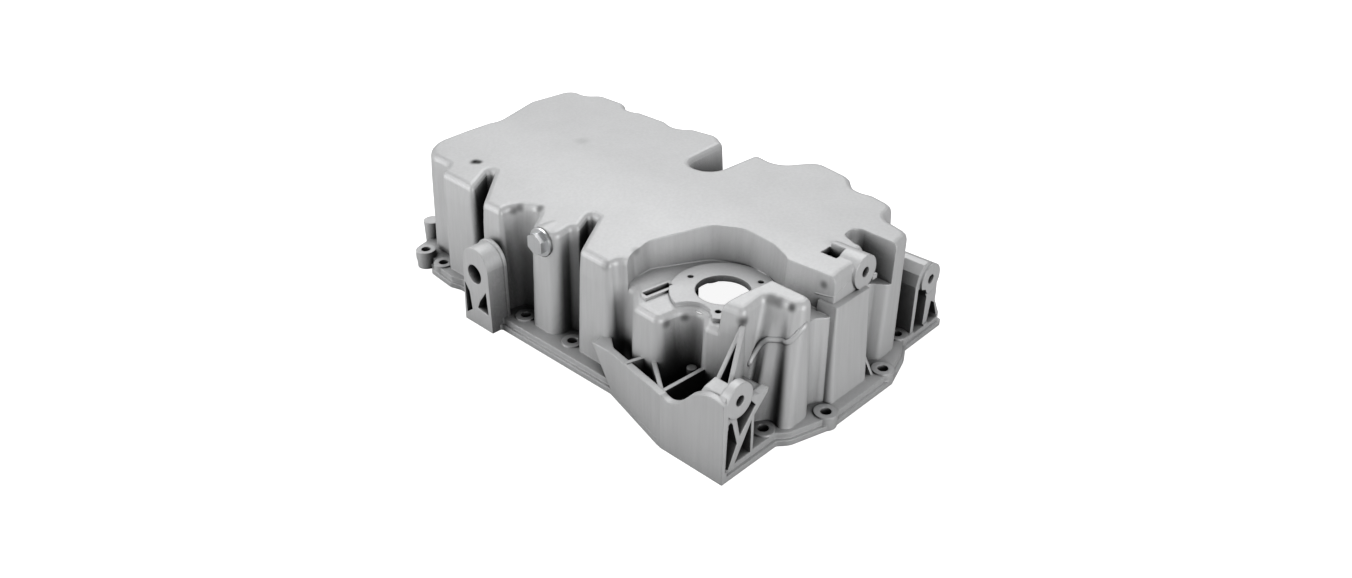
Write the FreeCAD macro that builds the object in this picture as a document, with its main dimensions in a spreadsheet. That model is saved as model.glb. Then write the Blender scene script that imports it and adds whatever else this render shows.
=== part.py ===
import FreeCAD, Part

import math
import os

from FreeCAD import Vector

# Engine oil pan, one aluminium casting with a drain plug and its sealing washer.
# Millimetres. The pan stands upside down on its gasket flange.
# X runs along the crank axis towards the gearbox, Y across the engine, Z away from the gasket plane.
# The origin lies in the gasket plane, under the crank axis, at the gearbox face.

doc = FreeCAD.newDocument("oil_pan")

# Driving dimensions

sheet = doc.addObject("Spreadsheet::Sheet", "sizes")

SIZES = {
    "deck_height": 118.0,
    "strip_height": 105.0,
    "strip_width": 102.0,
    "wall": 4.5,
    "deck_wall": 5.0,
    "draft": 3.0,
    "deck_round": 5.0,
    "inner_round": 3.0,
    "flange_thickness": 10.5,
    "flange_step": 5.0,
    "flange_lip": 2.5,
    "flange_hole": 9.0,
    "pad_diameter": 19.0,
    "pad_height": 1.5,
    "gearbox_radius": 185.5,
    "crank_depth": 76.0,
    "gearbox_thread": 8.5,
    "gearbox_boss": 28.0,
    "recess_floor": 86.0,
    "pocket_floor": 82.0,
    "recess_draft": 4.0,
    "sensor_x": -81.5,
    "sensor_y": -44.5,
    "sensor_bore": 43.5,
    "sensor_screw_circle": 64.0,
    "sensor_screw": 5.0,
    "sensor_pad": 84.0,
    "sensor_relief": 62.0,
    "sensor_relief_depth": 2.5,
    "sensor_pad_height": 3.0,
    "plug_x": -233.5,
    "plug_face": -96.0,
    "plug_height": 95.0,
    "plug_thread": 14.0,
    "plug_boss": 26.0,
    "plug_collar": 25.0,
    "plug_collar_height": 1.5,
    "plug_hexagon": 17.0,
    "plug_hexagon_height": 6.0,
    "plug_turn": 27.0,
    "plug_reach": 13.0,
    "plug_bore_gap": 0.2,
    "washer_outer": 24.0,
    "washer_thickness": 1.5,
    "washer_gap": 0.3,
    "bracket_x": -291.5,
    "bracket_face": -126.5,
    "bracket_height": 53.0,
    "bracket_bore": 18.0,
    "bracket_bore_depth": 16.0,
    "bracket_depth": 19.5,
    "corner_wall": 5.5,
    "ear_depth": 26.0,
    "ear_face_step": 2.0,
    "rib": 3.5,
}

for row, (name, number) in enumerate(SIZES.items(), start=1):
    sheet.set("A%d" % row, name)
    sheet.set("B%d" % row, str(number))
    sheet.setAlias("B%d" % row, name)
doc.recompute()


def size(name):
    """Return one driving dimension from the sheet."""
    return float(sheet.get(name))


# Plan outlines. Each corner is (x, y, radius) in the gasket plane, going anticlockwise.

# Outer face of the sump wall. Where a corner stands elsewhere on the deck than the draft would
# bring it, its place and radius there follow.
WALL = [
    (-449, -81, 30), (-404, -79, 12), (-391, -80, 8), (-381, -94, 9, -385, -87, 9), (-326, -94.5, 9),
    (-334.2, -81.5, 1, -352.9, -57.5, 3), (-331.8, -81.5, 1, -343.5, -57.5, 3),
    (-312, -104, 12), (-280, -104, 10), (-280, -89, 12), (-262, -80, 8), (-248, -103, 12),
    (-217, -103, 11, -217.5, -97, 8), (-217, -83, 4, -218, -79, 4), (-206.5, -80.5, 2, -212.5, -74, 3),
    (-208, -77, 1, -220.5, -55, 3), (-205.5, -77, 1, -209.5, -55, 3),
    (-190, -103, 12), (-148, -104, 12), (-147, -92, 5), (-139, -91, 5), (-121, -108, 12),
    (-89, -110, 11), (-86, -86, 10), (-77, -78, 7), (-64, -92, 12),
    (-29, -87, 6, -31.5, -80.5, 5), (-28.5, -80, 3, -31.5, -57, 5),
    (-22.5, -82, 5, -21, -54, 6), (-13, -64.5, 6, -14.5, -53.7, 5), (-2.5, -71, 6, -8.5, -54, 5),
    (4, -64, 8, -1, -48, 6), (4, -42, 12, -2, -40, 6), (-8, -30, 8), (3, -20, 12),
    (3, 30, 10), (-8, 38, 6), (-8, 48, 6), (1, 57, 8, 2.5, 61, 6), (0, 86, 16, 0, 85, 12),
    (-26, 98, 8), (-30, 122, 20), (-60, 129, 14), (-76, 126, 14),
    (-92, 144, 24), (-138, 153, 22), (-160, 122, 14), (-192, 128, 12), (-195, 68, 12),
    (-216, 65, 12), (-219, 122, 14), (-240, 135, 20), (-272, 131, 16), (-284, 121, 12),
    (-300, 127, 16), (-338, 127, 16), (-350, 121, 12), (-362, 133, 18), (-402, 133, 18),
    (-414, 121, 12), (-440, 125, 22), (-446, 64, 24), (-429, 10, 16), (-437, -20, 20),
]

# Outer edge of the gasket flange
FLANGE = [
    (-438, -96, 10), (-402, -96, 2), (-400, -101.5, 2), (-366, -104.5, 4), (-354, -101, 4),
    (-318, -101, 4), (-313, -126.5, 2), (-275, -126.5, 2), (-274, -116.5, 3), (-136, -116, 12),
    (-64, -136, 3), (-58, -133, 3), (-32, -132, 3), (-26, -136.5, 2), (0, -136.5, 1),
    (1, -76, 3), (8, -68, 16), (19, -32, 30), (20.5, 50, 30), (10, 84, 40), (2, 98, 2),
    (2, 156, 3), (-60, 156, 10), (-82, 166, 14), (-146, 166, 14), (-166, 146, 14),
    (-420, 146, 14), (-455, 138, 22), (-457, 60, 30), (-448, 10, 30), (-449, -60, 14),
]

# Recess for the level sensor, open towards the front left
RECESS = [
    (-141, -92, 10), (-143, -140, 1), (-40, -140, 1), (-51, -90, 6), (-47, -66, 12), (-40, -40, 12),
    (-40, -27, 12), (-48, -12.5, 12), (-68, -4.5, 20), (-98, -1, 24), (-123, -12, 20),
    (-148, -56, 12), (-147, -75, 6)]

# Channel between the corner tower and the front of the sump
CHANNEL = [(-60, -38, 4), (14, -40, 4), (14, -12, 4), (-60, -15, 4)]

# Pocket beside the middle gearbox boss
POCKET = [(-36, 47, 7), (-22, 41, 4), (24, 40, 4), (24, 61, 4), (-37, 64, 7)]


def shifted(corners, inset):
    """Move every side of a closed outline inwards by inset and keep its arcs concentric."""
    count = len(corners)
    result = []
    for index in range(count):
        before = corners[index - 1]
        here = corners[index]
        after = corners[(index + 1) % count]
        first = Vector(here[0] - before[0], here[1] - before[1], 0).normalize()
        second = Vector(after[0] - here[0], after[1] - here[1], 0).normalize()
        normals = Vector(-first.y - second.y, first.x + second.x, 0)
        scale = inset / (1.0 + first.dot(second))
        turns_left = first.x * second.y - first.y * second.x > 0
        radius = here[2] - inset if turns_left else here[2] + inset
        result.append((here[0] + normals.x * scale, here[1] + normals.y * scale, max(radius, 1.0)))
    return result


def outline(corners, height, inset=0.0):
    """Make a closed wire of lines and tangent arcs at one height."""
    points = shifted(corners, inset)
    count = len(points)
    sides = []
    for index in range(count):
        start = Vector(points[index][0], points[index][1], height)
        end_point = points[(index + 1) % count]
        sides.append(Vector(end_point[0], end_point[1], height) - start)
    reach = []
    for index in range(count):
        turn = sides[index - 1].getAngle(sides[index])
        reach.append(points[index][2] * math.tan(turn / 2))
    for index in range(count):
        following = (index + 1) % count
        room = 0.96 * sides[index].Length
        wanted = reach[index] + reach[following]
        if wanted > room:
            reach[index] *= room / wanted
            reach[following] *= room / wanted
    edges = []
    for index in range(count):
        corner = Vector(points[index][0], points[index][1], height)
        into = Vector(sides[index - 1]).normalize()
        away = Vector(sides[index]).normalize()
        start = corner - into * reach[index]
        finish = corner + away * reach[index]
        half = into.getAngle(away) / 2
        radius = reach[index] / math.tan(half)
        bisector = (away - into).normalize()
        middle = corner + bisector * (radius / math.cos(half) - radius)
        edges.append(Part.Arc(start, middle, finish).toShape())
        following = (index + 1) % count
        next_corner = corner + sides[index]
        edges.append(Part.makeLine(finish, next_corner - away * reach[following]))
    return Part.Wire(edges)


def drafted(corners, low, high, low_inset, high_inset):
    """Make a solid between two insets of one outline."""
    wires = [outline(corners, low, low_inset), outline(corners, high, high_inset)]
    return Part.makeLoft(wires, True, True)


def plate(corners, low, high, inset=0.0):
    """Make a straight-sided plate from an outline."""
    face = Part.Face(outline(corners, low, inset))
    return face.extrude(Vector(0, 0, high - low))


def slab(points, direction):
    """Make a prism from a closed polygon of points."""
    face = Part.Face(Part.makePolygon(list(points) + [points[0]]))
    return face.extrude(direction)


# Sump shell

slope = math.tan(math.radians(size("draft")))
front_edge = -103.0
ridge = front_edge + size("strip_width")
fall = (size("deck_height") - size("strip_height")) / size("strip_width")


def block(low, high):
    """Make a box between two opposite corners."""
    low = Vector(low)
    high = Vector(high)
    return Part.makeBox(high.x - low.x, high.y - low.y, high.z - low.z, low)


def wall_corners(height):
    """Return the corners of the sump wall at one height."""
    deck = size("deck_height")
    share = height / deck
    corners = []
    for here, drawn_in in zip(WALL, shifted([row[:3] for row in WALL], slope * deck)):
        above = here[3:] if len(here) > 3 else drawn_in
        corners.append(tuple(low + (high - low) * share for low, high in zip(here, above)))
    return corners


def sump_form(inset, drop, rounding, below, steps):
    """Make the solid form of the sump, with its deck sloping down along the front left side."""
    top = size("deck_height") - drop
    middle = size("strip_height") - 20
    upright = [outline(wall_corners(height), height, inset) for height in (below, middle)]
    rim = []
    for step in range(steps + 1):
        angle = math.radians(90.0 * step / steps)
        height = top - rounding + rounding * math.sin(angle)
        setback = rounding - rounding * math.cos(angle)
        rim.append(outline(wall_corners(height), height, inset + setback))
    shear = FreeCAD.Matrix()
    shear.A32 = fall
    shear.A34 = -fall * ridge
    form = Part.makeLoft(upright + rim, True, True)
    sheared = Part.makeLoft(upright + [wire.transformGeometry(shear) for wire in rim], True, True)
    rear = form.common(block((-500, ridge, below), (100, 300, 200)))
    front = sheared.common(block((-500, -300, below), (100, ridge, 200)))
    return rear.fuse(front).Solids[0]


def recess_form(grow, floor, nose_floor):
    """Make the solid that leaves the sensor recess, the channel beside the tower and the pocket."""
    spread = math.tan(math.radians(size("recess_draft")))
    high = size("deck_height") + 4
    top_grow = grow + spread * (high - floor)
    recess = drafted(RECESS, floor, high, -grow, -top_grow)
    channel = drafted(CHANNEL, floor, high, -grow, -top_grow)
    pocket = drafted(POCKET, nose_floor, high, -grow, -grow - 0.02 * (high - nose_floor))
    return recess.fuse([channel, pocket])


def lobe_rounding():
    """Make what rounds the front edge of the low lobes below the recess."""
    top = size("recess_floor")
    round_off = 7.0
    wires = []
    for step in range(4):
        angle = math.radians(30.0 * step)
        height = top - round_off + round_off * math.sin(angle)
        setback = round_off - round_off * math.cos(angle) - 0.3
        wires.append(outline(wall_corners(height), height, setback))
    kept = Part.makeLoft(wires, True, True)
    return plate(RECESS, top - round_off + 0.05, top + 1).cut(kept).cut(
        plate(RECESS, top, top + 2, -5))


outer = sump_form(0, 0, size("deck_round"), 0.0, 3)
cavity = sump_form(size("wall"), size("deck_wall"), size("inner_round"), -2.0, 1)
floor = size("recess_floor")
nose_floor = size("pocket_floor")
under = size("deck_wall")
recess = recess_form(0, floor, nose_floor)
outer = outer.cut(recess)
rounding = lobe_rounding()
outer = outer.cut(rounding)
cavity = cavity.cut(recess_form(size("wall"), floor - under, nose_floor - under))

# Gasket flange, in two steps

flange_top = size("flange_thickness")
flange = plate(FLANGE, 0, size("flange_step"))
flange = flange.fuse(plate(FLANGE, size("flange_step"), flange_top, size("flange_lip")))

# Corner wall of the gearbox housing, with its ribs

side = -136.5
thick = size("corner_wall")


def corner_wall():
    """Make the corner wall, whose top edge climbs and dips towards the gearbox."""
    outside = [(-176, -112), (-136, -116), (-61, side), (0, side)]
    inside = [(0, side + thick), (-59, side + thick), (-137, -110), (-150, -100), (-176, -100)]
    points = [Vector(x, y, 0) for x, y in outside + inside]
    band = slab(points, Vector(0, 0, 90))
    climb = [Vector(-158, -200, 39), Vector(-60, -200, 49.5)]
    dip = Part.BSplineCurve()
    dip_points = [climb[-1], Vector(-50, -200, 47.5), Vector(-40, -200, 54), Vector(-31, -200, 64)]
    dip.interpolate(dip_points + [Vector(-22, -200, 70), Vector(0, -200, 70)])
    edges = [Part.makeLine(climb[0], climb[1]), dip.toShape()]
    ends = [Vector(0, -200, 70), Vector(0, -200, 0), Vector(-133, -200, 0), climb[0]]
    for start, finish in zip(ends, ends[1:]):
        edges.append(Part.makeLine(start, finish))
    profile = Part.Face(Part.Wire(edges)).extrude(Vector(0, 140, 0))
    return band.common(profile)


def rib_wall(start, finish, thickness):
    """Make an upright rib under the line between two points."""
    start = Vector(*start)
    finish = Vector(*finish)
    points = [Vector(start.x, start.y, 0), start, finish, Vector(finish.x, finish.y, 0)]
    across = Vector(finish.y - start.y, start.x - finish.x, 0).normalize() * thickness
    points = [point - across * 0.5 for point in points]
    return slab(points, across)


rib = size("rib")
corner = corner_wall()
corner_ribs = [
    rib_wall((-112, -121, 45), (-107, -100, 44), rib),
    rib_wall((-64, -131, 48), (-103, -101, 46), rib),
    rib_wall((-64, -131, 48), (-62, -86, 47), rib),
    Part.makeCylinder(4, 42, Vector(-74, -88, 0)),
]

# Gearbox ears and bosses

ear_back = -size("ear_depth")
ear_front = -size("ear_face_step")
gearbox_angles = {"left": 130.0, "middle": 82.3, "right": 45.7}


def gearbox_point(which):
    """Return the centre of a gearbox screw hole on the gearbox face."""
    angle = math.radians(gearbox_angles[which])
    radius = size("gearbox_radius")
    return Vector(0, radius * math.cos(angle), radius * math.sin(angle) - size("crank_depth"))


def along_crank(points, back, front):
    """Make a prism along the crank axis from (y, z) points."""
    return slab([Vector(back, y, z) for y, z in points], Vector(front - back, 0, 0))


def x_cylinder(centre, diameter, back, front):
    """Make a cylinder along the crank axis."""
    start = Vector(back, centre.y, centre.z)
    return Part.makeCylinder(diameter / 2, front - back, start, Vector(1, 0, 0))


def beside(which, offsets):
    """Return (y, z) points given from the centre of a gearbox screw hole."""
    centre = gearbox_point(which)
    return [(centre.y + y, centre.z + z) for y, z in offsets]


left_ear_foot = beside("left", [(33.237, -11.103)]) + [(-100, 42), (-100, 8), (-76, 6), (-76, 0)]
left_ear_head = beside("left", [(-17, 0), (-13.8, 5.9), (-7.8, 10.9), (10.2, 4.9), (16.2, -5.1)])
left_ear_shelf = beside("left", [(24.237, -8.103), (34.237, -7.403)])
left_ear = along_crank(
    [(side, 0)] + left_ear_head + left_ear_shelf + left_ear_foot, ear_front - 6, ear_front)
left_ear_crown = beside("left", [(-17, -2), (-7.8, 3.9), (3.2, 5.9), (15.2, -6.1)])
left_ear_step = beside("left", [(24.237, -10.103), (34.237, -9.603)])
left_ear_body = along_crank(
    [(side, 0)] + left_ear_crown + left_ear_step + left_ear_foot, ear_back, ear_front - 6)
left_pockets = [
    [(-131.5, 47), (-126, 50), (-124, 47), (-118.6, 26.7), (-127.6, 8), (-133, 10)],
    [(-105, 58), (-99, 50.5), (-115.6, 32), (-119.7, 49.5)],
    [(-103, 39), (-103, 9.5), (-120.5, 9.5)],
]
right_ear_head = beside(
    "right", [(-20, -1), (-16.6, 9.2), (-9.6, 16.2), (-3.6, 17.2), (7.4, 11.2), (13.4, 3.2)])
right_ear = along_crank(
    [(96, 0), (96, 9), (110, 10)] + right_ear_head + [(146, 36), (146, 28), (155.5, 11), (155.5, 0)],
    ear_back - 12, ear_front)
right_pockets = [
    [(114.5, 52), (123, 49), (130, 38), (129.5, 9), (114.5, 9)],
    [(139, 30), (145, 26), (151.5, 11), (150, 8.5), (136, 8.5)],
]
ear_cuts = [along_crank(points, ear_back + 4, 1) for points in left_pockets]
ear_cuts += [along_crank(points, ear_back - 8, 1) for points in right_pockets]
boss_size = size("gearbox_boss")
ears = [left_ear, left_ear_body, right_ear]
ears.append(x_cylinder(gearbox_point("left"), boss_size, -7, 0))
for which in ("middle", "right"):
    ears.append(x_cylinder(gearbox_point(which), boss_size, ear_back - 6, 0))
left_boss = gearbox_point("left")
middle_boss = gearbox_point("middle")
ears.append(rib_wall((-25, left_boss.y, left_boss.z - 3), (-31, -82, 96), rib))
ears.append(rib_wall((-13, left_boss.y + 4, left_boss.z + 5), (-30, -82, 97), rib))
ears.append(rib_wall((-8, 35, 42), (9, 37, 10), 3))
ledge = Vector(-10, middle_boss.y + 11, middle_boss.z - 12)
ears.append(block(ledge, ledge + Vector(10, 6, 4)))

# Front panel of the sump

panel = drafted(
    [(-20, -21, 2), (8.5, -19.5, 6), (9, 30, 5), (-12, 36, 2)], 0, 95, 0, slope * 95)

# Mounting boss on the front left side

bracket_x = size("bracket_x")
bracket_face = size("bracket_face")
bracket_z = size("bracket_height")
bracket_back = bracket_face + size("bracket_depth")
arch_x = bracket_x + 2
arch_z = bracket_z + 9
arch_radius = 17.0


def along_y(points, front, back):
    """Make a prism along Y from (x, z) points."""
    return slab([Vector(x, front, z) for x, z in points], Vector(0, back - front, 0))


def y_cylinder(x, z, diameter, front, back):
    """Make a cylinder along Y."""
    return Part.makeCylinder(diameter / 2, back - front, Vector(x, front, z), Vector(0, 1, 0))


def bracket_arch(grow, front, back):
    """Make the arched body of the mounting boss, with its sides carried down to the flange."""
    left = arch_x - arch_radius - grow
    right = arch_x + arch_radius + grow
    web = [(left - 6, 0), (left, arch_z), (right, arch_z), (right - 1.5, 0)]
    arch = y_cylinder(arch_x, arch_z, 2 * (arch_radius + grow), front, back)
    return along_y(web, front, back).fuse(arch)


bracket = bracket_arch(0, bracket_face, bracket_back)
bracket = bracket.fuse(bracket_arch(1.5, bracket_back - 3, bracket_back))
bracket_web = block((bracket_x - 8, bracket_back, 0), (bracket_x - 4, -96, bracket_z + 12))
bracket = bracket.fuse(bracket_web)
bracket_cuts = []
for points in (
    [(-307.5, 40), (-302, 32), (-300.5, 14), (-309, 8)],
    [(-278, 40), (-277.5, 17), (-292, 19), (-288, 27)],
):
    bracket_cuts.append(along_y(points, bracket_face - 1, bracket_face + 15))
bracket_end = bracket_face + size("bracket_bore_depth")
bracket_cuts.append(
    y_cylinder(bracket_x, bracket_z, size("bracket_bore"), bracket_face - 1, bracket_end))

# Level sensor seat

sensor = Vector(size("sensor_x"), size("sensor_y"), 0)
pad_top = floor + size("sensor_pad_height")
screw_angles = [64.5, 184.5, 304.5]
floor_edge = outline(wall_corners(floor), floor - 3, 5.5)
floor_area = Part.Face(floor_edge).extrude(Vector(0, 0, 20))
pad = Part.makeCylinder(size("sensor_pad") / 2, pad_top - floor + 3, sensor + Vector(0, 0, floor - 3))
seat = [pad.common(floor_area)]
seat_bosses = []
seat_cuts = [Part.makeCylinder(size("sensor_bore") / 2, 60, sensor + Vector(0, 0, floor - 30))]
for angle in screw_angles:
    turn = math.radians(angle)
    reach = size("sensor_screw_circle") / 2
    centre = sensor + Vector(reach * math.cos(turn), reach * math.sin(turn), 0)
    seat_bosses.append(Part.makeCylinder(6.5, pad_top - floor + 16, centre + Vector(0, 0, floor - 16)))
    seat_cuts.append(Part.makeCylinder(size("sensor_screw") / 2, 30, centre + Vector(0, 0, pad_top - 14)))

# Raised slot on the recess floor


def turned_box(centre, length, width, low, high, angle):
    """Make a box with its long side turned about Z."""
    box = Part.makeBox(length, width, high - low, Vector(-length / 2, -width / 2, low))
    box.rotate(Vector(0, 0, 0), Vector(0, 0, 1), angle)
    box.translate(Vector(centre[0], centre[1], 0))
    return box


slot_centre = (-120, -77.5)
slot_lip = turned_box(slot_centre, 31, 12, floor - 3, floor + 2, 81)
slot_lip = slot_lip.common(floor_area)
slot = turned_box(slot_centre, 25, 6, floor - 2, floor + 5, 81)

# Drain boss

plug_x = size("plug_x")
plug_z = size("plug_height")
plug_face = size("plug_face")
drain_boss = y_cylinder(plug_x, plug_z, size("plug_boss"), plug_face, plug_face + 18)
drain_bore = y_cylinder(
    plug_x, plug_z, size("plug_thread") + size("plug_bore_gap"), plug_face - 1, plug_face + 30)

# The washer sits on a round face milled into the wall
spot_face = y_cylinder(plug_x, plug_z, size("plug_boss"), plug_face - 8, plug_face)

# Flange screw holes with their pads, the end tab and the end boss

FLANGE_HOLES = [
    (-391.5, -92.3), (-328, -98), (-262, -98), (-202, -97), (-11, -77.5), (11, -28.7), (11, 48.8),
    (-9, 100), (-76, 140), (-163, 136), (-206, 118), (-284, 135), (-350, 135), (-443, 10),
]
TAB_HOLE = (-417.2, -93.8)
hole = size("flange_hole")
pad_up = flange_top + size("pad_height")
pads = []
flange_cuts = []
for x, y in FLANGE_HOLES:
    pads.append(Part.makeCylinder(size("pad_diameter") / 2, pad_up, Vector(x, y, 0)))
    flange_cuts.append(Part.makeCylinder(hole / 2, pad_up + 2, Vector(x, y, -1)))
tab_height = 17.0
pads.append(Part.makeCylinder(9.5, tab_height, Vector(TAB_HOLE[0], TAB_HOLE[1], 0)))
flange_cuts.append(Part.makeCylinder(hole / 2, 30, Vector(TAB_HOLE[0], TAB_HOLE[1], -1)))
pads.append(Part.makeCylinder(8.5, 27, Vector(-447, -64, 0)))

# One casting

solids = [outer, flange, corner, panel, bracket, slot_lip, drain_boss]
solids += corner_ribs + ears + seat + seat_bosses + pads
gearbox_cuts = [
    x_cylinder(gearbox_point("left"), size("gearbox_thread"), -22, 1),
    x_cylinder(gearbox_point("middle"), size("gearbox_thread"), -24, 1),
    x_cylinder(gearbox_point("right"), size("gearbox_thread"), -22, 1),
]
deck = size("deck_height")
top_pocket = block((-33, 11.5, deck - 16), (-18.5, 23.5, deck + 12))
cuts = [drain_bore, spot_face, slot]
cuts += ear_cuts + bracket_cuts + seat_cuts + flange_cuts + gearbox_cuts
relief_height = floor - under + size("sensor_relief_depth")
relief = Part.makeCylinder(size("sensor_relief") / 2, relief_height - 60, sensor + Vector(0, 0, 60))
keep = cavity.fuse(relief)
middle_body = x_cylinder(middle_boss, boss_size, ear_back - 6, 0)
for solid in (drain_boss, middle_body, *seat_bosses):
    keep = keep.cut(solid)
blank = solids[0].fuse(solids[1:])
casting = blank.cut([keep])
casting = casting.cut(cuts).cut(top_pocket)
pan = doc.addObject("Part::Feature", "pan_casting")
pan.Label = "pan_casting"
pan.Shape = casting

# Drain plug and its sealing washer

head_face = plug_face - size("washer_thickness")
turn_forward = FreeCAD.Rotation(Vector(1, 0, 0), 90)

plug_hexagon = doc.addObject("Part::Prism", "plug_hexagon")
plug_hexagon.Polygon = 6
plug_hexagon.setExpression("Circumradius", "sizes.plug_hexagon / sqrt(3)")
plug_hexagon.setExpression("Height", "sizes.plug_hexagon_height + sizes.plug_collar_height")
plug_hexagon.Placement.Rotation = FreeCAD.Rotation(Vector(0, 0, 1), size("plug_turn"))
plug_flat = doc.addObject("Part::Cylinder", "plug_collar")
plug_flat.setExpression("Radius", "sizes.plug_collar / 2")
plug_flat.setExpression("Height", "sizes.plug_collar_height")
plug_shank = doc.addObject("Part::Cylinder", "plug_shank")
plug_shank.setExpression("Radius", "sizes.plug_thread / 2")
plug_shank.setExpression("Height", "sizes.plug_reach + sizes.plug_collar_height")
plug_shank.Placement.Rotation = FreeCAD.Rotation(Vector(1, 0, 0), 180)
plug_shank.setExpression("Placement.Base.z", "sizes.plug_collar_height")
plug_parts = doc.addObject("Part::MultiFuse", "plug_parts")
plug_parts.Shapes = [plug_hexagon, plug_flat, plug_shank]
doc.recompute()
plug_parts.Label = "drain_plug"
plug_parts.Placement = FreeCAD.Placement(Vector(plug_x, head_face, plug_z), turn_forward)

washer_rim = doc.addObject("Part::Cylinder", "washer_rim")
washer_rim.setExpression("Radius", "sizes.washer_outer / 2")
washer_rim.setExpression("Height", "sizes.washer_thickness")
washer_hole = doc.addObject("Part::Cylinder", "washer_hole")
washer_hole.setExpression("Radius", "sizes.plug_thread / 2 + sizes.washer_gap")
washer_hole.setExpression("Height", "sizes.washer_thickness")
washer = doc.addObject("Part::Cut", "washer")
washer.Base = washer_rim
washer.Tool = washer_hole
washer.Label = "drain_plug_washer"
washer.Placement = FreeCAD.Placement(Vector(plug_x, plug_face, plug_z), turn_forward)
doc.recompute()

for item in doc.Objects:
    for word in ("Invalid", "Error"):
        if word in item.State:
            raise RuntimeError(item.Label + " has the state " + word)

os.makedirs("parts", exist_ok=True)
for item in (pan, plug_parts, washer):
    shape = item.Shape
    if shape.isNull() or not shape.isValid():
        raise RuntimeError(item.Label + " has no valid shape")
    shape.exportStep("parts/" + item.Label + ".step")
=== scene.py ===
"""Looks of a cast engine oil pan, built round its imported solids."""

import logging
import math
from dataclasses import dataclass
from enum import Enum

import bpy
import numpy as np
from mathutils import Matrix, Vector


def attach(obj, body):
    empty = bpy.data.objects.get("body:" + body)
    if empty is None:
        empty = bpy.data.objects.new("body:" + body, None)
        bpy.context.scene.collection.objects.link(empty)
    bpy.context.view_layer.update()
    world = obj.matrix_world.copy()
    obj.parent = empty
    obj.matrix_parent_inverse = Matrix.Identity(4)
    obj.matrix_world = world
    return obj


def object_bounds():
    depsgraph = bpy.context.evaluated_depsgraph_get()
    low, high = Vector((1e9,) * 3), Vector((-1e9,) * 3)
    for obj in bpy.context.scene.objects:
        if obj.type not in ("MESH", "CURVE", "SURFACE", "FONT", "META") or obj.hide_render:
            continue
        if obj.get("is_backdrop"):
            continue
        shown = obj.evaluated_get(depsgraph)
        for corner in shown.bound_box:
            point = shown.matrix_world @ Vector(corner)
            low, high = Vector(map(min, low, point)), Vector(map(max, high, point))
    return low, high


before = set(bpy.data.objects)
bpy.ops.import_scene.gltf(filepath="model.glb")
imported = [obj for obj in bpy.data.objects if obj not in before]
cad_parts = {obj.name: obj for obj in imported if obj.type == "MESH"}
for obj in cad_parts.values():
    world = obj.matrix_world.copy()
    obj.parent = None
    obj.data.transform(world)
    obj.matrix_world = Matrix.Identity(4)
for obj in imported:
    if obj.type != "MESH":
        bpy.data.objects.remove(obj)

LOG = logging.getLogger("oil_pan")
MM = 0.001
WHITE = (1.0, 1.0, 1.0, 1.0)

Pair = tuple[float, float]
Triple = tuple[float, float, float]


class Solid(Enum):
    """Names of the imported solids."""

    CASTING = "pan_casting"
    PLUG = "drain_plug"
    WASHER = "drain_plug_washer"


class Socket(Enum):
    """Kinds of socket that the shader groups use."""

    NUMBER = "NodeSocketFloat"
    VECTOR = "NodeSocketVector"


@dataclass(frozen=True)
class Metal:
    """One metal finish.

    Attributes:
        name: Name of the material.
        colour: Base colour, linear red, green and blue.
        roughness: Roughness of the surface.
        metallic: Share of metal in the shader.
        grain: Size of the surface grain in millimetres.
        depth: Depth of the grain, as bump distance in millimetres.
        edge: Radius of the softened edges in millimetres.
        hollow: How far painted shade darkens deep hollows, from 0 to 1.
        mottle: Strength of the soft cloudy change of tone.
        gloss: Level of the highlights that are not metal.
        gloss_tint: Grey level that tints those highlights.
        edge_samples: Rays that feel for the edges round a point.
    """

    name: str
    colour: Triple
    roughness: float
    metallic: float
    grain: float
    depth: float
    edge: float
    hollow: float = 0.0
    mottle: float = 0.12
    gloss: float = 0.2
    gloss_tint: float = 0.5
    edge_samples: int = 6


# The cast finish paints shade into deep hollows; the zinc and the seal paint none.
CAST = Metal("cast aluminium with painted shade", (0.51, 0.513, 0.517), 0.5, 0.32, grain=0.9, depth=0.04, edge=1.8, hollow=0.95)
ZINC = Metal("bright zinc", (0.80, 0.81, 0.82), 0.30, 1.0, grain=0.5, depth=0.01, edge=0.4)
SEAL = Metal("plain aluminium", (0.45, 0.45, 0.45), 0.42, 0.9, grain=0.5, depth=0.01, edge=0.2)


@dataclass(frozen=True)
class SkinAndShade:
    """Sizes of the skin and of its painted hollow shade, which all the metals share.

    Attributes:
        grain_detail: Octaves of the fine noise.
        grain_roughness: Share that each finer octave keeps.
        cloud_scale: Clouds per metre.
        cloud_detail: Octaves of the clouds.
        streak_scale: Streaks per metre along each axis, few along the draft.
        streak_detail: Octaves of the streaks.
        streak_window: Part of the noise that makes the streaks.
        streak_tone: How far the streaks change the tone.
        hollow_reach: Distance in millimetres at which walls still shade a hollow.
        hollow_window: Openness at which the painted shade of a hollow is darkest and at which it is clear.
        samples: Rays that test how open a point is, for the painted shade.
    """

    grain_detail: float = 3.0
    grain_roughness: float = 0.6
    cloud_scale: float = 28.0
    cloud_detail: float = 5.0
    streak_scale: Triple = (420.0, 420.0, 14.0)
    streak_detail: float = 2.0
    streak_window: Pair = (0.3, 0.7)
    streak_tone: float = 0.035
    hollow_reach: float = 160.0
    hollow_window: Pair = (0.2, 0.62)
    samples: int = 12


@dataclass(frozen=True)
class ShadeSpot:
    """One spot of painted shade on the casting's skin.

    Attributes:
        centre: Middle of the spot in millimetres.
        radius: Radius at which it has faded, in millimetres.
        dark: How much darker its middle is, from 0 to 1.
    """

    centre: Triple
    radius: float
    dark: float


# Painted shade at the tower's shoulders, where its valleys meet the deck's rounding.
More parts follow.
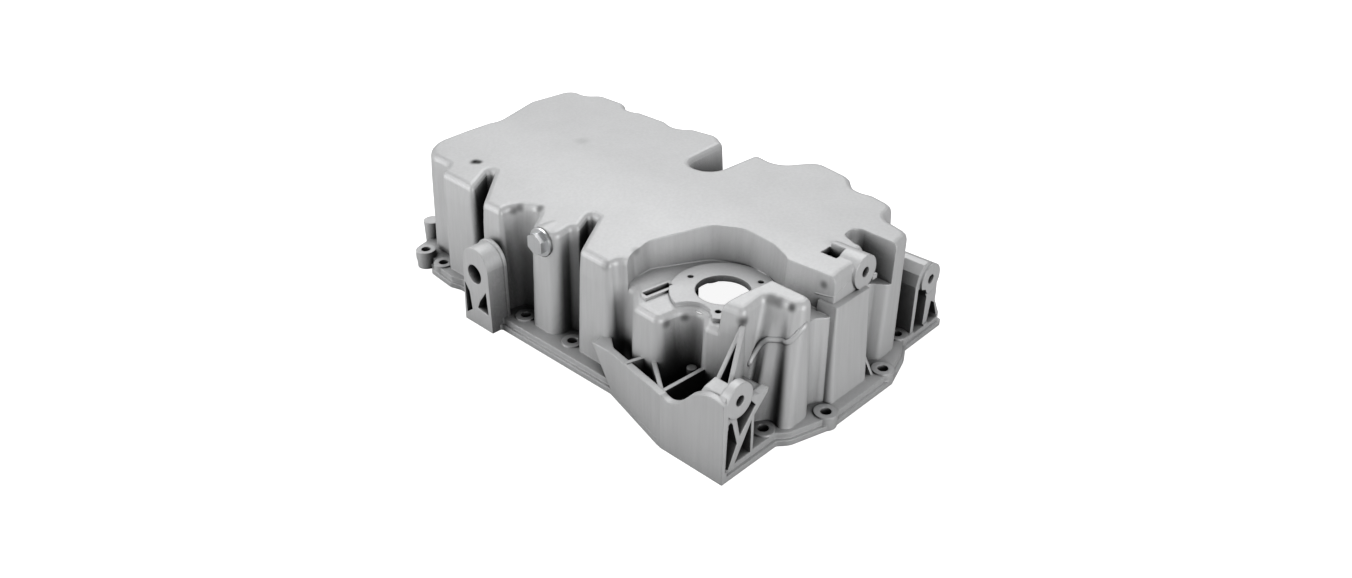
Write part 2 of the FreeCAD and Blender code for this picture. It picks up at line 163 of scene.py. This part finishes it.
TOWER_SHADE_SPOTS = (
    ShadeSpot((-27.0, -54.8, 108.0), 7.5, 0.55),
    ShadeSpot((-20.5, -54.8, 108.0), 7.5, 0.6),
    ShadeSpot((-9.6, -53.6, 108.0), 6.0, 0.8),
    ShadeSpot((-33.0, -79.0, 98.0), 7.0, 0.8),
)
# Painted shade where the lobes' valleys meet the rounded rim of the deck.
RIM_SHADE_SPOTS = (
    ShadeSpot((-283.0, -86.0, 102.0), 6.5, 0.6),
    ShadeSpot((-279.5, -81.5, 104.5), 6.5, 0.6),
    ShadeSpot((-261.0, -75.0, 107.5), 7.5, 0.6),
    ShadeSpot((-157.4, -97.4, 102.1), 7.0, 0.3),
    ShadeSpot((-148.7, -71.2, 108.0), 7.0, 0.3),
    ShadeSpot((-12.0, -11.5, 107.5), 6.0, 0.6),
    ShadeSpot((-36.5, 59.6, 112.9), 8.0, 0.3),
)
# Painted shade at the shoulders of the low lobes by the sensor recess.
RECESS_SHADE_SPOTS = (
    ShadeSpot((-91.5, -97.0, 78.0), 6.5, 0.6),
    ShadeSpot((-87.0, -81.8, 78.4), 6.5, 0.65),
)
# Painted shade in a pit and in a shallow dimple of the deck.
DECK_SHADE_SPOTS = (
    ShadeSpot((-372.4, -57.7, 110.8), 7.5, 1.0),
    ShadeSpot((-368.4, -56.0, 111.0), 6.0, 0.9),
    ShadeSpot((-323.9, 30.8, 118.0), 12.0, 0.14),
)


@dataclass(frozen=True)
class Crease:
    """The line where the deck's slope starts, which the casting rounds off broadly.

    Attributes:
        middle: Place of the line across the engine in millimetres.
        reach: How far the rounding goes to each side, in millimetres.
        slope: Change of slope at the line.
        level_share: Upward share of a face's normal, where the shading starts and is full.
    """

    middle: float = -1.0
    reach: float = 34.0
    slope: float = 0.1275
    level_share: Pair = (0.95, 0.98)


class Bench:
    """Places shader nodes in one node tree and joins them."""

    def __init__(self, tree: bpy.types.NodeTree) -> None:
        """Work on one tree.

        Args:
            tree: The node tree of a material, a world or a group.
        """
        self.nodes = tree.nodes
        self.links = tree.links

    def feed(self, socket: bpy.types.NodeSocket, value: object) -> None:
        """Give an input its value.

        Args:
            socket: The input.
            value: A number, a vector, or the output that feeds the input.
        """
        if isinstance(value, bpy.types.NodeSocket):
            self.links.new(value, socket)
        else:
            socket.default_value = value

    def add(
        self, kind: str, inputs: dict[str | int, object] | None = None, **settings: object
    ) -> bpy.types.Node:
        """Add one node.

        Args:
            kind: Type of the node, as its class is called after ShaderNode.
            inputs: Value or feeding output for each input, by name or number.
            settings: Values of the node's own settings.

        Returns:
            The node.
        """
        node = self.nodes.new("ShaderNode" + kind)
        for name, value in settings.items():
            setattr(node, name, value)
        for name, value in (inputs or {}).items():
            self.feed(node.inputs[name], value)
        return node

    def step(self, operation: str, *values: object) -> bpy.types.NodeSocket:
        """Add one math node.

        Args:
            operation: The operation.
            values: Numbers or outputs that it works on.

        Returns:
            The output with the result.
        """
        return self.add("Math", dict(enumerate(values)), operation=operation).outputs[0]

    def noise(
        self, place: bpy.types.NodeSocket, scale: object, detail: float, roughness: float = 0.5
    ) -> bpy.types.NodeSocket:
        """Add one noise.

        Args:
            place: Output with the place on the object.
            scale: Number or output with the noise's scale.
            detail: Octaves.
            roughness: Share that each finer octave keeps.

        Returns:
            The output with the noise, from 0 to 1.
        """
        inputs = {"Vector": place, "Scale": scale, "Detail": detail, "Roughness": roughness}
        return self.add("TexNoise", inputs).outputs["Fac"]

    def ramp(
        self,
        value: bpy.types.NodeSocket,
        window: Pair,
        result: Pair = (0.0, 1.0),
        interpolation: str = "LINEAR",
    ) -> bpy.types.NodeSocket:
        """Map a value from one window to another.

        Args:
            value: Output with the value.
            window: Lowest and highest value that is mapped.
            result: What they are mapped to.
            interpolation: Shape of the ramp.

        Returns:
            The output with the result.
        """
        names = ("From Min", "From Max", "To Min", "To Max")
        inputs = {"Value": value, **dict(zip(names, (*window, *result)))}
        return self.add("MapRange", inputs, interpolation_type=interpolation).outputs["Result"]

    def object_place(self) -> bpy.types.NodeSocket:
        """Add the output with the place on the object."""
        return self.add("TexCoord").outputs["Object"]


class Group(Bench):
    """A shader node group that is being built."""

    def __init__(self, name: str, inputs: dict[str, Socket], outputs: tuple[str, ...]) -> None:
        """Make an empty group.

        Args:
            name: Name of the group.
            inputs: Kind of each input, by its name.
            outputs: Names of the outputs, which are all numbers.
        """
        self.tree = bpy.data.node_groups.new(name, "ShaderNodeTree")
        for label, kind in inputs.items():
            self.tree.interface.new_socket(label, in_out="INPUT", socket_type=kind.value)
        for label in outputs:
            self.tree.interface.new_socket(label, in_out="OUTPUT", socket_type=Socket.NUMBER.value)
        super().__init__(self.tree)
        self.given = self.nodes.new("NodeGroupInput").outputs
        self.result = self.nodes.new("NodeGroupOutput").inputs


def skin_and_shade_group(skin: SkinAndShade) -> bpy.types.NodeTree:
    """Build the group for a blasted metal finish's skin and painted hollow shade.

    Fine noise gives the grain's height. The tone is one, changed by broad clouds
    and by fine streaks along the draft, and darkened by painted shade where walls shut a point in.

    Args:
        skin: Sizes of the skin.

    Returns:
        The node group with a tone factor that carries the painted hollow shade, and a height.
    """
    kinds = {"Grain": Socket.NUMBER, "Mottle": Socket.NUMBER, "Hollow Shade": Socket.NUMBER}
    group = Group("metal skin and hollow shade", kinds, ("Tone And Shade", "Height"))
    place = group.object_place()
    grain = group.noise(place, group.given["Grain"], skin.grain_detail, skin.grain_roughness)
    clouds = group.step("SUBTRACT", group.noise(place, skin.cloud_scale, skin.cloud_detail), 0.5)
    cloudy = group.step("MULTIPLY_ADD", clouds, group.given["Mottle"], 1.0)
    drawn = group.add("Mapping", {"Vector": place, "Scale": skin.streak_scale}).outputs["Vector"]
    streaks = group.ramp(
        group.noise(drawn, 1.0, skin.streak_detail),
        skin.streak_window,
        (1.0 - skin.streak_tone, 1.0 + skin.streak_tone),
    )
    streaky = group.step("MULTIPLY", cloudy, streaks)
    # Painted shade: ambient occlusion darkens the tone in hollows.
    shade = group.add("AmbientOcclusion", {"Distance": skin.hollow_reach * MM}, samples=skin.samples)
    openness = group.ramp(shade.outputs["AO"], skin.hollow_window, interpolation="SMOOTHSTEP")
    kept = group.add("Mix", {"Factor": group.given["Hollow Shade"], "A": 1.0, "B": openness}).outputs["Result"]
    group.feed(group.result["Tone And Shade"], group.step("MULTIPLY", streaky, kept))
    group.feed(group.result["Height"], grain)
    return group.tree


def shade_spot_group() -> bpy.types.NodeTree:
    """Build the group that paints shade on one round spot.

    The tone is multiplied by one less the darkness, faded out with the distance
    from the middle over the radius.

    Returns:
        The node group with a tone factor.
    """
    kinds = {"Tone And Shade": Socket.NUMBER, "Centre": Socket.VECTOR, "Radius": Socket.NUMBER, "Dark": Socket.NUMBER}
    group = Group("painted shade spot", kinds, ("Tone And Shade",))
    apart = {0: group.object_place(), 1: group.given["Centre"]}
    distance = group.add("VectorMath", apart, operation="DISTANCE").outputs["Value"]
    share = group.step("DIVIDE", distance, group.given["Radius"])
    fade = group.ramp(share, (0.0, 1.0), (1.0, 0.0), "SMOOTHERSTEP")
    kept = group.step("SUBTRACT", 1.0, group.step("MULTIPLY", fade, group.given["Dark"]))
    group.feed(group.result["Tone And Shade"], group.step("MULTIPLY", kept, group.given["Tone And Shade"]))
    return group.tree


def crease_group(crease: Crease) -> bpy.types.NodeTree:
    """Build the group that shades a broad rounding over the deck's crease.

    Its height is a parabola to each side of the line: the square of what is left of
    the reach, over minus four times the reach, times the slope. It fades out where
    the face doesn't look up.

    Args:
        crease: The crease, for the upward share.

    Returns:
        The node group with a height in metres.
    """
    kinds = {"Middle": Socket.NUMBER, "Reach": Socket.NUMBER, "Slope": Socket.NUMBER}
    group = Group("soft crease", kinds, ("Height",))
    across = group.add("SeparateXYZ", {0: group.object_place()}).outputs["Y"]
    facing = group.add("SeparateXYZ", {0: group.add("NewGeometry").outputs["Normal"]}).outputs["Z"]
    level = group.ramp(facing, crease.level_share)
    offset = group.step("ABSOLUTE", group.step("SUBTRACT", across, group.given["Middle"]))
    inside = group.step("MAXIMUM", group.step("SUBTRACT", group.given["Reach"], offset), 0.0)
    square = group.step("MULTIPLY", inside, inside)
    parabola = group.step("DIVIDE", square, group.step("MULTIPLY", group.given["Reach"], -4.0))
    height = group.step("MULTIPLY", group.step("MULTIPLY", parabola, group.given["Slope"]), level)
    group.feed(group.result["Height"], height)
    return group.tree


class MetalBench(Bench):
    """Builds the material of one metal finish."""

    def __init__(self, finish: Metal) -> None:
        """Start the material.

        Args:
            finish: The finish.
        """
        self.finish = finish
        self.material = bpy.data.materials.new(finish.name)
        self.material.use_nodes = True
        super().__init__(self.material.node_tree)

    def placed(self, tree: bpy.types.NodeTree, inputs: dict[str, object]) -> bpy.types.NodeOutputs:
        """Place a group in the material.

        Args:
            tree: The group.
            inputs: Value or feeding output for each input.

        Returns:
            The outputs of the placed group.
        """
        return self.add("Group", inputs, node_tree=tree).outputs

    def shade_spotted(self, tone: bpy.types.NodeSocket, spots: tuple[ShadeSpot, ...]) -> bpy.types.NodeSocket:
        """Paint shade on a tone at each spot.

        Args:
            tone: Output with the tone.
            spots: The spots of painted shade.

        Returns:
            The output with the spotted tone.
        """
        tree = shade_spot_group() if spots else None
        for spot in spots:
            centre = [value * MM for value in spot.centre]
            inputs = {"Tone And Shade": tone, "Centre": centre, "Radius": spot.radius * MM, "Dark": spot.dark}
            tone = self.placed(tree, inputs)["Tone And Shade"]
        return tone

    def softened(self, crease: Crease | None) -> bpy.types.NodeSocket:
        """Round the edges, and the crease if there is one.

        Args:
            crease: The crease.

        Returns:
            The output with the normal.
        """
        reach = {"Radius": self.finish.edge * MM}
        normal = self.add("Bevel", reach, samples=self.finish.edge_samples).outputs["Normal"]
        if crease is None:
            return normal
        sizes = {"Middle": crease.middle * MM, "Reach": crease.reach * MM, "Slope": crease.slope}
        height = self.placed(crease_group(crease), sizes)["Height"]
        return self.bumped(height, 1.0, normal)

    def bumped(
        self, height: bpy.types.NodeSocket, distance: float, normal: bpy.types.NodeSocket
    ) -> bpy.types.NodeSocket:
        """Tilt a normal by a height.

        Args:
            height: Output with the height.
            distance: Metres for each unit of the height.
            normal: Output with the normal.

        Returns:
            The output with the tilted normal.
        """
        inputs = {"Strength": 1.0, "Distance": distance, "Height": height, "Normal": normal}
        return self.add("Bump", inputs).outputs["Normal"]

    def build(
        self, skin: bpy.types.NodeTree, spots: tuple[ShadeSpot, ...] = (), crease: Crease | None = None
    ) -> bpy.types.Material:
        """Finish the material.

        Args:
            skin: The shared skin group.
            spots: Spots of painted shade on the skin.
            crease: Crease that is shaded round, if there is one.

        Returns:
            The material.
        """
        finish = self.finish
        grained = self.placed(
            skin, {"Grain": 1.0 / (finish.grain * MM), "Mottle": finish.mottle, "Hollow Shade": finish.hollow}
        )
        # The tone takes painted shade from the hollows and from the spots.
        tone = self.shade_spotted(grained["Tone And Shade"], spots)
        colour = self.add("VectorMath", {0: finish.colour, "Scale": tone}, operation="SCALE")
        normal = self.bumped(grained["Height"], finish.depth * MM, self.softened(crease))
        surface = {
            "Base Color": colour.outputs["Vector"],
            "Roughness": finish.roughness,
            "Metallic": finish.metallic,
            "Specular IOR Level": finish.gloss,
            "Specular Tint": (finish.gloss_tint, finish.gloss_tint, finish.gloss_tint, 1.0),
            "Normal": normal,
        }
        shader = self.nodes["Principled BSDF"]
        for name, value in surface.items():
            self.feed(shader.inputs[name], value)
        return self.material


@dataclass(frozen=True)
class Lamp:
    """One square lamp.

    Attributes:
        name: Name of the lamp.
        at: Place in metres.
        side: Side of the square in metres.
        power: Power in watts.
    """

    name: str
    at: Triple
    side: float
    power: float


@dataclass
class Studio:
    """Camera, lamps, floor and background.

    Attributes:
        camera_at: Place of the camera in millimetres.
        forward: Direction that the camera looks along.
        up: Direction that is up in the picture.
        lens: Focal length in millimetres.
        sensor: Width of the sensor in millimetres.
        clip_end: Distance in metres past which the camera sees nothing.
        aim: Point in metres that the lamps face.
        lamps: The lamps.
        soft_light: Strength of the light from all sides.
        floor_side: Half of the floor's side in metres.
        floor_grey: Grey level of the floor.
        floor_roughness: Roughness of the floor.
        floor_glow: Glow of the floor that only the camera sees.
    """

    camera_at: Triple = (358.23, -562.87, 500.0)
    forward: Triple = (-0.5876, 0.6220, -0.5174)
    up: Triple = (-0.3553, 0.3761, 0.8556)
    lens: float = 27.48
    sensor: float = 36.0
    clip_end: float = 20.0
    aim: Triple = (-0.2, 0.0, 0.05)
    lamps: tuple[Lamp, ...] = (
        Lamp("top lamp", (-1.0, 0.85, 1.7), 1.7, 30.0),
        Lamp("front lamp", (-1.5, -1.6, 0.5), 1.5, 37.0),
        Lamp("side lamp", (1.7, -0.5, 0.7), 1.0, 28.0),
    )
    soft_light: float = 0.2
    floor_side: float = 6.0
    floor_grey: float = 0.4
    floor_roughness: float = 0.9
    floor_glow: float = 0.93

    def place_camera(self) -> None:
        """Place the camera where the photograph was taken from."""
        data = bpy.data.cameras.new("camera")
        data.lens = self.lens
        data.sensor_width = self.sensor
        data.clip_end = self.clip_end
        camera = bpy.data.objects.new("camera", data)
        back = -Vector(self.forward).normalized()
        right = Vector(self.up).cross(back).normalized()
        turn = Matrix((right, back.cross(right), back)).transposed().to_4x4()
        camera.matrix_world = Matrix.Translation(Vector(self.camera_at) * MM) @ turn
        bpy.context.scene.collection.objects.link(camera)
        bpy.context.scene.camera = camera

    def hang(self, lamp: Lamp) -> None:
        """Hang one lamp so that it faces the pan.

        Args:
            lamp: The lamp.
        """
        data = bpy.data.lights.new(lamp.name, "AREA")
        data.shape = "SQUARE"
        data.size = lamp.side
        data.energy = lamp.power
        hung = bpy.data.objects.new(lamp.name, data)
        turn = (Vector(lamp.at) - Vector(self.aim)).to_track_quat("Z", "Y").to_matrix().to_4x4()
        hung.matrix_world = Matrix.Translation(Vector(lamp.at)) @ turn
        bpy.context.scene.collection.objects.link(hung)

    def light_world(self) -> None:
        """Light the scene softly from all sides, and show a white background."""
        world = bpy.data.worlds.new("studio")
        world.use_nodes = True
        world.node_tree.nodes.clear()
        bench = Bench(world.node_tree)
        soft = bench.add("Background", {"Color": WHITE, "Strength": self.soft_light}).outputs[0]
        white = bench.add("Background", {"Color": WHITE, "Strength": 1.0}).outputs[0]
        seen = bench.add("LightPath").outputs["Is Camera Ray"]
        mixed = bench.add("MixShader", {"Fac": seen, 1: soft, 2: white}).outputs[0]
        bench.add("OutputWorld", {"Surface": mixed})
        bpy.context.scene.world = world

    def floor_material(self) -> bpy.types.Material:
        """Make the pale floor's material.

        Returns:
            The material.
        """
        material = bpy.data.materials.new("pale floor")
        material.use_nodes = True
        bench = Bench(material.node_tree)
        seen = bench.add("LightPath").outputs["Is Camera Ray"]
        surface = {
            "Base Color": (self.floor_grey, self.floor_grey, self.floor_grey, 1.0),
            "Roughness": self.floor_roughness,
            "Emission Color": WHITE,
            "Emission Strength": bench.step("MULTIPLY", seen, self.floor_glow),
        }
        shader = bench.nodes["Principled BSDF"]
        for name, value in surface.items():
            bench.feed(shader.inputs[name], value)
        return material

    def lay_floor(self) -> None:
        """Lay the pale floor under the gasket face."""
        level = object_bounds()[0][2]
        side = self.floor_side
        mesh = bpy.data.meshes.new("floor")
        corners = [(-side, -side, level), (side, -side, level), (side, side, level), (-side, side, level)]
        mesh.from_pydata(corners, [], [(0, 1, 2, 3)])
        mesh.materials.append(self.floor_material())
        floor = bpy.data.objects.new("floor", mesh)
        bpy.context.scene.collection.objects.link(floor)
        floor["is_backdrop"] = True

    def build(self) -> None:
        """Build the whole studio."""
        self.place_camera()
        self.light_world()
        self.lay_floor()
        for lamp in self.lamps:
            self.hang(lamp)


def smoothed(points: np.ndarray, reach: int) -> np.ndarray:
    """Even out a line: each point is the mean of its neighbours, weighted by a raised cosine.

    Args:
        points: Points of the line, one row each.
        reach: How many neighbours on each side count.

    Returns:
        As many points.
    """
    weights = np.hanning(2 * reach + 1)
    padded = np.pad(points, ((reach, reach), (0, 0)), mode="edge")
    columns = [np.convolve(column, weights / weights.sum(), mode="valid") for column in padded.T]
    return np.stack(columns, axis=1)


def unit_rows(vectors: np.ndarray) -> np.ndarray:
    """Scale each row to the length of one."""
    return vectors / np.linalg.norm(vectors, axis=1, keepdims=True)


@dataclass(kw_only=True)
class RaisedLine:
    """A thin raised line that rides on the casting's skin.

    Attributes:
        name: Name of the piece.
        outward: Direction away from the skin.
        width: Width across the line in millimetres.
        height: Height above the skin in millimetres.
        sink: Depth of its foot below the skin in millimetres.
        along: Points along the line.
        across: Points across the line.
        skin_reach: Neighbours on each side that even out the line on the skin.
        end_share: Share of the line over which each end thins out.
        end_width: Share of the width that is left at an end.
        crown: How round the top is, where 1 is a sine and less is flatter.
    """

    name: str
    outward: Triple
    width: float
    height: float
    sink: float = 0.4
    along: int = 120
    across: int = 13
    skin_reach: int = 3
    end_share: float = 0.06
    end_width: float = 0.4
    crown: float = 0.6

    def points(self, casting: bpy.types.Object) -> np.ndarray:
        """Find the line on the casting's skin.

        Args:
            casting: The casting.

        Returns:
            Points in metres, one row each.
        """
        raise NotImplementedError

    def build(self, casting: bpy.types.Object) -> bpy.types.Object:
        """Carry a rounded profile along the line.

        Across the line, the width follows the cosine and the height the sine of
        half a turn, and both shrink towards the ends.

        Args:
            casting: The casting that carries the line.

        Returns:
            The piece.
        """
        line = smoothed(self.points(casting), self.skin_reach)
        tangent = unit_rows(np.gradient(line, axis=0))
        side = unit_rows(np.cross(tangent, np.array(Vector(self.outward).normalized())))
        lift = np.cross(side, tangent)
        angle = np.linspace(0.0, math.pi, self.across)
        run = np.linspace(0.0, 1.0, self.along)[:, None]
        taper = np.clip(np.minimum(run, 1.0 - run) / self.end_share, 0.0, 1.0) ** 0.5
        out = np.sin(angle) ** self.crown * self.height * taper - self.sink
        wide = np.cos(angle) * self.width * 0.5 * (self.end_width + (1.0 - self.end_width) * taper)
        offset = side[:, None, :] * wide[..., None] + lift[:, None, :] * out[..., None]
        return grid_piece(self.name, line[:, None, :] + MM * offset)

    def dress(self, piece: bpy.types.Object, material: bpy.types.Material) -> None:
        """Give the piece the casting's finish, and let it ride on the casting.

        Args:
            piece: The piece.
            material: The casting's material.
        """
        piece.data.materials.append(material)
        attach(piece, "root")
        LOG.info("%s has %d faces", self.name, len(piece.data.polygons))


@dataclass(kw_only=True)
class PartingLine(RaisedLine):
    """A raised line that the parting of the mould leaves on the casting.

    Attributes:
        path: Points that it passes, in millimetres, near the skin.
        path_reach: Neighbours on each side that round the path's corners.
        probe: Distance in millimetres from which the skin is looked for.
    """

    path: tuple[Triple, ...]
    path_reach: int = 7
    probe: float = 30.0

    def points(self, casting: bpy.types.Object) -> np.ndarray:
        """Round the path, and lay it on the skin.

        Args:
            casting: The casting.

        Returns:
            Points on the skin in metres, one row each.
        """
        knots = np.array(self.path) * MM
        spans = np.concatenate([[0.0], np.cumsum(np.linalg.norm(np.diff(knots, axis=0), axis=1))])
        places = np.linspace(0.0, spans[-1], self.along)
        evenly = np.stack([np.interp(places, spans, column) for column in knots.T], axis=1)
        line = smoothed(evenly, self.path_reach)
        away = Vector(self.outward).normalized()
        hits = [casting.ray_cast(Vector(point) + away * self.probe * MM, -away) for point in line]
        return np.array([hit[1] if hit[0] else point for hit, point in zip(hits, line)])


@dataclass(kw_only=True)
class FootBead(RaisedLine):
    """The fine cast fillet where the recess wall meets its floor.

    Attributes:
        middle: Point in millimetres inside the recess, just above the round seat.
        start: First direction from the middle, in degrees from the crank axis.
        end: Last direction, in degrees.
        seat: Middle of the round seat in millimetres.
        seat_radius: Radius of the seat in millimetres.
        floor_level: Height of the recess floor in millimetres.
        seat_level: Height of the seat in millimetres.
    """

    middle: Triple
    start: float
    end: float
    seat: Pair
    seat_radius: float
    floor_level: float
    seat_level: float

    def points(self, casting: bpy.types.Object) -> np.ndarray:
        """Look for the wall around the middle, and go down to the floor or the seat.

        Args:
            casting: The casting.

        Returns:
            Points on the wall's foot in metres, one row each.
        """
        turns = np.radians(np.linspace(self.start, self.end, self.along))
        rays = [Vector((math.cos(turn), math.sin(turn), 0.0)) for turn in turns]
        foot = np.array([casting.ray_cast(Vector(self.middle) * MM, ray)[1] for ray in rays])
        from_seat = np.linalg.norm(foot[:, :2] - np.array(self.seat) * MM, axis=1)
        foot[:, 2] = np.where(from_seat > self.seat_radius * MM, self.floor_level, self.seat_level) * MM
        return foot


def grid_piece(name: str, grid: np.ndarray) -> bpy.types.Object:
    """Make a smooth piece from a grid of points.

    Args:
        name: Name of the piece.
        grid: Points in metres, as rows, columns and coordinates.

    Returns:
        The piece, linked to the scene.
    """
    rows, columns = grid.shape[:2]
    index = np.arange(rows * columns).reshape(rows, columns)
    corners = [index[:-1, :-1], index[1:, :-1], index[1:, 1:], index[:-1, 1:]]
    quads = np.stack(corners, axis=-1).reshape(-1, 4)
    mesh = bpy.data.meshes.new(name)
    mesh.from_pydata(grid.reshape(-1, 3).tolist(), [], quads.tolist())
    mesh.polygons.foreach_set("use_smooth", np.ones(len(quads), dtype=bool))
    mesh.update()
    piece = bpy.data.objects.new(name, mesh)
    bpy.context.scene.collection.objects.link(piece)
    return piece


TOWER_RIB = PartingLine(
    name="tower_parting_rib",
    path=(
        (-30.2, -75.5, 57.5), (-30.2, -71.3, 62.5), (-29.1, -67.2, 68.9), (-26.6, -64.9, 75.1),
        (-21.9, -63.0, 79.9), (-17.0, -59.6, 79.8), (-9.8, -58.4, 80.4), (-5.8, -57.9, 83.0),
        (-3.4, -55.4, 86.5), (-1.5, -52.5, 91.1), (-0.4, -47.3, 95.1), (-0.6, -44.5, 96.3),
    ),
    outward=(0.65, -0.76, 0.0),
    width=4.4,
    height=2.3,
)
NOSE_FLASH = PartingLine(
    name="nose_parting_flash",
    path=(
        (-20.0, -12.5, 98.0), (-8.0, -12.0, 99.5), (-2.6, -9.0, 101.5), (-2.2, 0.0, 103.5),
        (-2.2, 7.0, 107.0),
    ),
    outward=(0.72, -0.69, 0.0),
    width=1.6,
    height=0.8,
)
RECESS_BEAD = FootBead(
    name="recess_foot_bead",
    middle=(-90.0, -50.0, 89.8),
    start=12.0,
    end=203.0,
    seat=(-81.5, -44.5),
    seat_radius=42.0,
    floor_level=86.0,
    seat_level=89.0,
    outward=(0.0, 0.0, 1.0),
    width=2.0,
    height=1.0,
    sink=0.3,
    along=220,
    across=9,
)


@dataclass
class DressedSolid:
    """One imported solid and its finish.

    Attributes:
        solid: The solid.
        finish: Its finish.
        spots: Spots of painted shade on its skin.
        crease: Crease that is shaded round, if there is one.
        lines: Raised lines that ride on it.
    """

    solid: Solid
    finish: Metal
    spots: tuple[ShadeSpot, ...] = ()
    crease: Crease | None = None
    lines: tuple[RaisedLine, ...] = ()

    def dress(self, nodes: dict, skin: bpy.types.NodeTree) -> None:
        """Put the finish on the solid's slots, and add its raised lines.

        Args:
            nodes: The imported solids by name.
            skin: The shared skin group.
        """
        node = nodes[self.solid.value]
        material = MetalBench(self.finish).build(skin, self.spots, self.crease)
        for slot in node.material_slots:
            slot.material = material
        LOG.info("%s has the finish %s", self.solid.value, self.finish.name)
        for line in self.lines:
            line.dress(line.build(node), material)


PARTS = (
    DressedSolid(
        Solid.CASTING,
        CAST,
        spots=TOWER_SHADE_SPOTS + RIM_SHADE_SPOTS + RECESS_SHADE_SPOTS + DECK_SHADE_SPOTS,
        crease=Crease(),
        lines=(TOWER_RIB, NOSE_FLASH, RECESS_BEAD),
    ),
    DressedSolid(Solid.PLUG, ZINC),
    DressedSolid(Solid.WASHER, SEAL),
)


def main() -> None:
    """Build the scene."""
    logging.basicConfig(level=logging.INFO)
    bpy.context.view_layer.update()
    bpy.context.scene.view_settings.view_transform = "Standard"
    Studio().build()
    skin = skin_and_shade_group(SkinAndShade())
    for part in PARTS:
        part.dress(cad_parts, skin)


if __name__ == "__main__":
    main()
